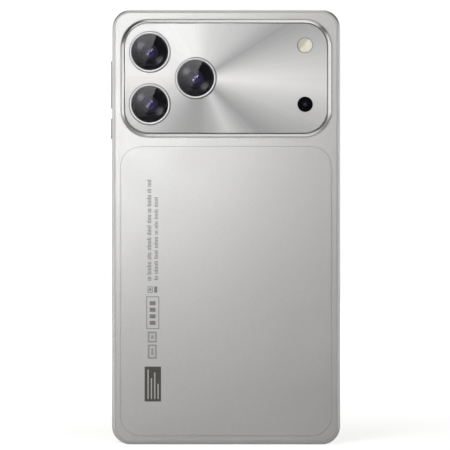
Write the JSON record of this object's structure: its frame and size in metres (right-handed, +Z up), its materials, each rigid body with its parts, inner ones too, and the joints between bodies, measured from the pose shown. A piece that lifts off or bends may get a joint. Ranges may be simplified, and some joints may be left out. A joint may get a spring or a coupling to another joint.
{
  "type": "smartphone",
  "caption": "Large slab handset with a raised rear camera deck, ringed lenses, side keys, card tray and charging port.",
  "frame": {"origin": "bottom centre of the bounding box: the part stands on its bottom edge, at the middle of its width and thickness", "axes": "+Z up along the body's length, towards the camera end; -Y out of the back; +Y out of the screen; +X to the right of someone who looks at the back"},
  "size_m": [0.0965, 0.0116, 0.183],
  "materials": {
    "satin_silver": "satin anodised",
    "cover_silver": "satin metallic lacquer",
    "panel_silver": "fine satin metallic lacquer",
    "polished_bezel": "polished",
    "brushed_deck": "radially brushed",
    "ring_metal": "polished",
    "front_glass": "polished",
    "lens_glass": "coated",
    "flash_diffuser": "textured translucent",
    "display_black": "semi-gloss",
    "light_guide": "semi-gloss",
    "stamped_steel": "stamped",
    "camera_black": "matte",
    "sensor_die": "coated die",
    "led_phosphor": "semi-gloss",
    "board_green": "solder mask",
    "chip_black": "moulded",
    "flex_amber": "polyimide film",
    "dome_metal": "stamped",
    "cell_grey": "foil pouch",
    "contact_black": "moulded",
    "plated_steel": "nickel plated",
    "weight_metal": "sintered"
  },
  "bodies": {
    "handset": {"side_frame": "satin_silver", "mid_plate": "stamped_steel", "back_cover": "cover_silver", "rear_panel": "panel_silver", "cover_glass": "front_glass", "display_panel": "display_black", "backlight": "light_guide", "camera_bezel": "polished_bezel", "deck_plate": "brushed_deck", "lens_ring_upper": "ring_metal", "lens_ring_middle": "ring_metal", "lens_ring_lower": "ring_metal", "lens_glass_upper": "lens_glass", "lens_glass_middle": "lens_glass", "lens_glass_lower": "lens_glass", "camera_housing_upper": "camera_black", "camera_housing_middle": "camera_black", "camera_housing_lower": "camera_black", "image_sensor_upper": "sensor_die", "image_sensor_middle": "sensor_die", "image_sensor_lower": "sensor_die", "depth_camera": "camera_black", "depth_window": "lens_glass", "flash_lens": "flash_diffuser", "flash_led": "led_phosphor", "side_key_board": "flex_amber", "key_domes": "dome_metal", "key_bracket": "stamped_steel", "card_socket": "plated_steel", "main_board": "board_green", "processor": "chip_black", "memory_chip": "chip_black", "radio_chip": "chip_black", "processor_shield": "plated_steel", "radio_shield": "plated_steel", "battery": "cell_grey", "battery_lead": "flex_amber", "main_flex": "flex_amber", "display_flex": "flex_amber", "sub_board": "board_green", "usb_shell": "plated_steel", "usb_tongue": "contact_black", "headphone_jack": "contact_black", "microphone": "plated_steel", "loudspeaker": "chip_black", "loudspeaker_mesh": "stamped_steel", "earpiece": "chip_black", "earpiece_mesh": "stamped_steel", "front_camera": "camera_black", "motor_housing": "plated_steel", "screws": "plated_steel"},
    "volume_rocker": {"volume_key": "satin_silver"},
    "power_button": {"power_key": "satin_silver"},
    "card_tray": {"sim_tray": "satin_silver"},
    "ejector_rod": {"eject_rod": "plated_steel"},
    "ejector_lever": {"eject_lever": "plated_steel"},
    "focus_upper": {"focus_barrel_upper": "camera_black"},
    "focus_middle": {"focus_barrel_middle": "camera_black"},
    "focus_lower": {"focus_barrel_lower": "camera_black"},
    "vibration_rotor": {"motor_rotor": "weight_metal"}
  },
  "joints": [
    {"name": "volume_rock", "type": "hinge", "parent": "handset", "child": "volume_rocker", "pos_m": [-0.0466, 0.00118, 0.1515], "axis": [0, -1, 0], "range_deg": [-1.3, 1.3], "stiffness_Nm_per_rad": 0.4},
    {"name": "power_press", "type": "slide", "parent": "handset", "child": "power_button", "axis": [1, 0, 0], "range_m": [0, 0.00025], "stiffness_N_per_m": 2000},
    {"name": "tray_slide", "type": "slide", "parent": "handset", "child": "card_tray", "axis": [1, 0, 0], "range_m": [0, 0.03]},
    {"name": "eject_push", "type": "slide", "parent": "handset", "child": "ejector_rod", "axis": [-1, 0, 0], "range_m": [0, 0.0008]},
    {"name": "eject_turn", "type": "hinge", "parent": "handset", "child": "ejector_lever", "pos_m": [0.0164, -0.00063, 0.1475], "axis": [0, -1, 0], "range_deg": [0, 9.8]},
    {"name": "focus_upper_travel", "type": "slide", "parent": "handset", "child": "focus_upper", "axis": [0, -1, 0], "range_m": [0, 0.00025], "stiffness_N_per_m": 60},
    {"name": "focus_middle_travel", "type": "slide", "parent": "handset", "child": "focus_middle", "axis": [0, -1, 0], "range_m": [0, 0.00025], "stiffness_N_per_m": 60},
    {"name": "focus_lower_travel", "type": "slide", "parent": "handset", "child": "focus_lower", "axis": [0, -1, 0], "range_m": [0, 0.00025], "stiffness_N_per_m": 60},
    {"name": "rotor_spin", "type": "hinge", "parent": "handset", "child": "vibration_rotor", "pos_m": [-0.039, -0.00013, 0.0115], "axis": [0, 0, 1], "continuous": true}
  ],
  "couplings": [
    {"joint": "eject_turn", "follows": "eject_push", "rad_per_m": 212.77}
  ]
}
